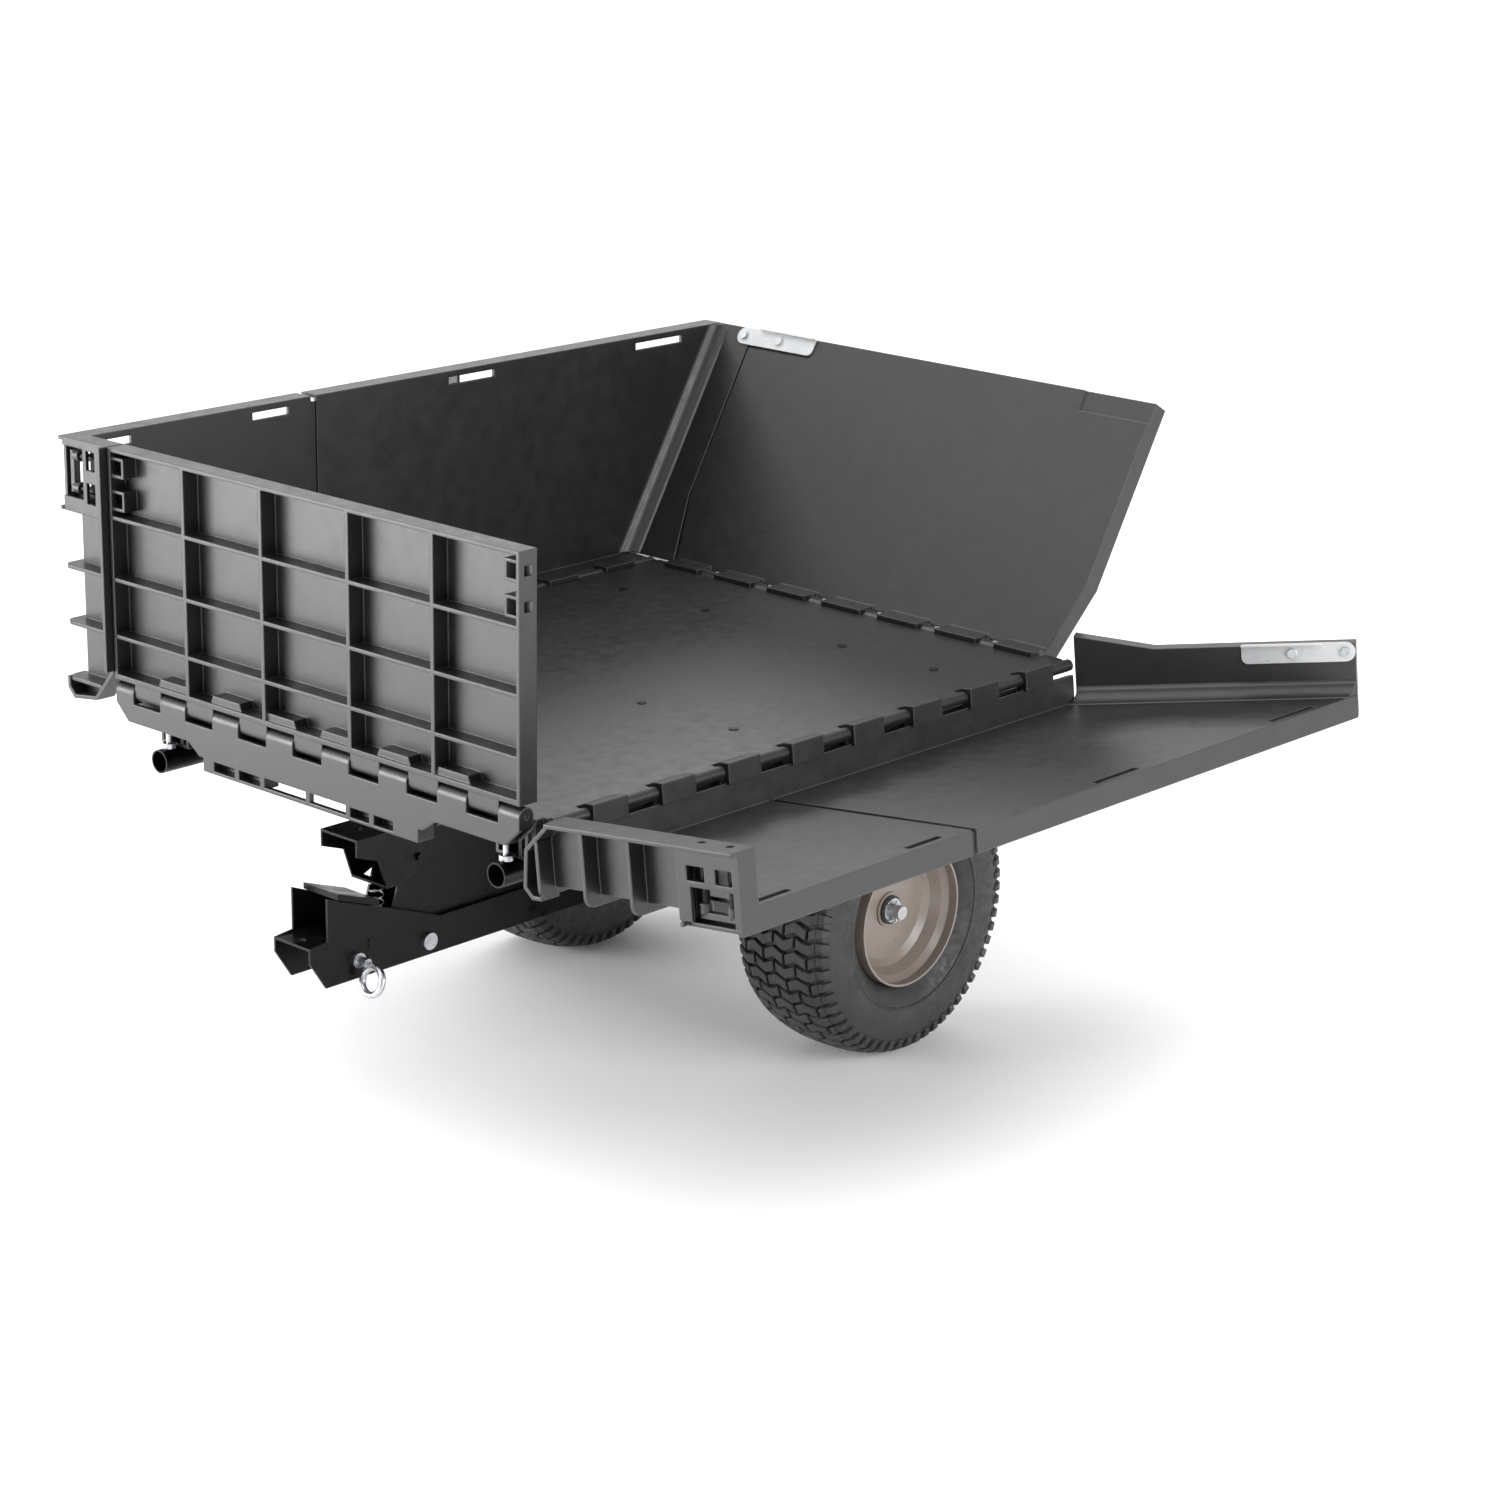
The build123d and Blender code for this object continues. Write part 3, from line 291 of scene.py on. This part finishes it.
def shoulder_lug(bm, centre, row, side):
    """A tapered lug that carries a row down the shoulder."""
    foot = [(TREAD_HALF - 0.001, crown(TREAD_HALF) - 0.009), (0.0735, 0.182), (0.0765, 0.1745)]
    face = [(TREAD_HALF - 0.001, crown(TREAD_HALF)), (0.0745, 0.1885), (0.0785, 0.1775)]
    swing = wave(side * TREAD_HALF) / TYRE_R
    loops = []
    for foot_point, face_point, wide in zip(foot, face, LUG_WIDTHS):
        corners = []
        for (y, radius), shrink in ((foot_point, 1.0), (face_point, LUG_FACE)):
            half = (TYRE_R * PITCH / 2 - GROOVE) * wide * shrink / TYRE_R
            for sign in (-1, 1):
                corners.append(wheel_point(bm, centre, PITCH * row + swing + sign * half, side * y, radius))
        loops.append([corners[0], corners[1], corners[3], corners[2]])
    for one, two in zip(loops[:-1], loops[1:]):
        band(bm, one, two)
    bm.faces.new(loops[0])
    bm.faces.new(loops[-1])


def make_tyre(side):
    bm = bmesh.new()
    centre = WHEEL_CENTRES[side]
    lathe(bm, carcass_outline(), centre, TYRE_SEGMENTS)
    for row in range(ROWS):
        cuts = block_cuts(row)
        for y0, y1 in zip(cuts[:-1], cuts[1:]):
            tread_block(bm, centre, row, y0 + CUT, y1 - CUT)
        for end in (-1, 1):
            shoulder_lug(bm, centre, row, end)
    add_piece(side + "_turf_tyre", bm, side + "_wheel", "tyre", (side + "_tyre",))


for side in SIDES:
    make_tyre(side)


# ---- moulded fillets where a side wall turns round its rear corner ----
ORIGIN_X, ORIGIN_Z = 0.771, 0.2705      # the frame's zero, in part.py's own coordinates
REAR_X, SIDE_IN = -0.287, 0.455         # in those too: the tailgate's and side wall's inner faces
BED_TOP, WALL_TOP = 0.5155, 0.847       # and the heights of the bed's and the walls' top
LEAN = math.radians(30.8)               # of the side wall's rear return, from the vertical
FILLET_R = 0.022
FILLET_STEPS = 10
FILLET_SUNK = 0.0004                    # how far the strip's back lies inside the walls
FILLET_ENDS = (0.002, 0.001)            # how far it stops short of the foot and of the top

CORNER = Vector((REAR_X - ORIGIN_X, SIDE_IN, BED_TOP - ORIGIN_Z))
SLOPE_LENGTH = (WALL_TOP - BED_TOP) / math.cos(LEAN)
UP_SLOPE = Vector((-math.sin(LEAN), 0.0, math.cos(LEAN)))
OUT_SLOPE = Vector((-math.cos(LEAN), 0.0, -math.sin(LEAN)))
FOLD = next(j for j in frame["record"]["behaviour"]["joints"] if j["name"] == "left_wall_fold")
HINGE_Y, HINGE_Z = FOLD["pos_m"][1:]
DROP = -math.radians(FOLD["range_deg"][1])


def lowered(point):
    """Where a point of the upright left wall is once the wall is lowered."""
    y, z = point.y - HINGE_Y, point.z - HINGE_Z
    return Vector((point.x, HINGE_Y + y * math.cos(DROP) - z * math.sin(DROP),
                   HINGE_Z + y * math.sin(DROP) + z * math.cos(DROP)))


def fillet_section(up):
    """A level section of the strip on the upright left wall, at a distance up the slope."""
    points = [CORNER + UP_SLOPE * up + OUT_SLOPE * FILLET_SUNK + Vector((0, FILLET_SUNK, 0))]
    for k in range(FILLET_STEPS + 1):
        a = math.pi / 2 * k / FILLET_STEPS
        in_y, in_x = FILLET_R * (1 - math.sin(a)), FILLET_R * (1 - math.cos(a))
        along = up - in_x * math.tan(LEAN)
        points.append(CORNER + UP_SLOPE * along - OUT_SLOPE * in_x - Vector((0, in_y, 0)))
    return points


def corner_fillet(side):
    """A concave strip along the inner corner between the side wall and its rear return."""
    bm = bmesh.new()
    loops = []
    for up in (FILLET_ENDS[0], 0.1, 0.2, 0.3, SLOPE_LENGTH - FILLET_ENDS[1]):
        points = fillet_section(up)
        if side == "left":
            points = [lowered(p) for p in points]
        else:
            points = [Vector((p.x, -p.y, p.z)) for p in points]
        loops.append([bm.verts.new(p) for p in points])
    for one, two in zip(loops[:-1], loops[1:]):
        band(bm, one, two)
    bm.faces.new(loops[0])
    bm.faces.new(loops[-1])
    add_piece(side + "_corner_fillet", bm, side + "_wall", "poly")


for side in SIDES:
    corner_fillet(side)


# ---- stage, light and camera ----
FLOOR_HALF = 30.0
HORIZON_SPAN = (-0.06, -0.01)    # height of a view ray, just below the horizon
SKY_SPAN = (1.0, 0.5)            # strength of the world below and above that

CAMERA_PLACE = (2.8105, 3.3232, 1.5978)
CAMERA_YAW = math.radians(-137.70)
CAMERA_PITCH = 0.299538          # downwards, radians
CAMERA_ROLL = 0.0174101          # radians
LENS = 86.77
SENSOR_WIDTH = 36.0


def add_object(name, data):
    obj = bpy.data.objects.new(name, data)
    bpy.context.scene.collection.objects.link(obj)
    return obj


def stage_floor():
    corners = [(-1, -1), (1, -1), (1, 1), (-1, 1)]
    mesh = bpy.data.meshes.new("studio_floor")
    mesh.from_pydata([(FLOOR_HALF * x, FLOOR_HALF * y, GROUND_Z) for x, y in corners], [], [(0, 1, 2, 3)])
    mat = bpy.data.materials.new("studio_floor")
    mat.use_nodes = True
    set_inputs(mat.node_tree.nodes["Principled BSDF"], Base_Color=(0.93, 0.93, 0.93, 1), Roughness=0.9,
               Specular_IOR_Level=0.1, Emission_Color=(1, 1, 1, 1), Emission_Strength=0.02)
    mesh.materials.append(mat)
    add_object("studio_floor", mesh)


def sky():
    """White below the horizon for a white backdrop, and dim above it, so that the lights shape the cart."""
    world = bpy.data.worlds.new("studio")
    world.use_nodes = True
    tree = world.node_tree
    background = tree.nodes["Background"]
    way = tree.nodes.new("ShaderNodeSeparateXYZ")
    set_inputs(background, Color=(1, 1, 1, 1))
    links(tree, (tree.nodes.new("ShaderNodeTexCoord").outputs["Generated"], way.inputs["Vector"]),
          (remap(tree, way.outputs["Z"], HORIZON_SPAN, SKY_SPAN), background.inputs["Strength"]))
    bpy.context.scene.world = world


def soft_sun(name, source, strength, spread):
    """A sun that shines from the direction of source; its spread is in degrees."""
    data = bpy.data.lights.new(name, "SUN")
    data.energy = strength
    data.angle = math.radians(spread)
    lamp = add_object(name, data)
    lamp.rotation_euler = (-Vector(source)).to_track_quat("-Z", "Y").to_euler()


def soft_light(name, offset, size, power):
    """A rectangular lamp, placed by its offset from the middle of the bed and aimed there."""
    data = bpy.data.lights.new(name, "AREA")
    data.shape = "RECTANGLE"
    data.size, data.size_y = size
    data.energy = power
    lamp = add_object(name, data)
    place = BED_CENTRE + Vector(offset)
    lamp.location = place
    lamp.rotation_euler = (BED_CENTRE - place).to_track_quat("-Z", "Y").to_euler()


def camera():
    look = Vector((math.cos(CAMERA_YAW) * math.cos(CAMERA_PITCH),
                   math.sin(CAMERA_YAW) * math.cos(CAMERA_PITCH), -math.sin(CAMERA_PITCH)))
    right = Vector((math.sin(CAMERA_YAW), -math.cos(CAMERA_YAW), 0))
    up = right.cross(look)
    across = right * math.cos(CAMERA_ROLL) + up * math.sin(CAMERA_ROLL)
    above = up * math.cos(CAMERA_ROLL) - right * math.sin(CAMERA_ROLL)
    data = bpy.data.cameras.new("camera")
    data.lens = LENS
    data.sensor_width = SENSOR_WIDTH
    cam = add_object("camera", data)
    turn = Matrix((across, above, -look)).transposed().to_4x4()
    cam.matrix_world = Matrix.Translation(CAMERA_PLACE) @ turn
    bpy.context.scene.camera = cam


stage_floor()
sky()
soft_sun("overhead", (0.15, -0.2, 1.0), 3.0, 90)
soft_light("front", (3.3, -2.3, 0.45), (2.4, 1.6), 175)
soft_light("back", (-3.2, -2.9, 1.9), (3.6, 1.2), 28)
soft_light("left", (-0.4, 3.8, 1.0), (3.0, 1.6), 105)
bpy.context.scene.view_settings.view_transform = "Standard"
camera()
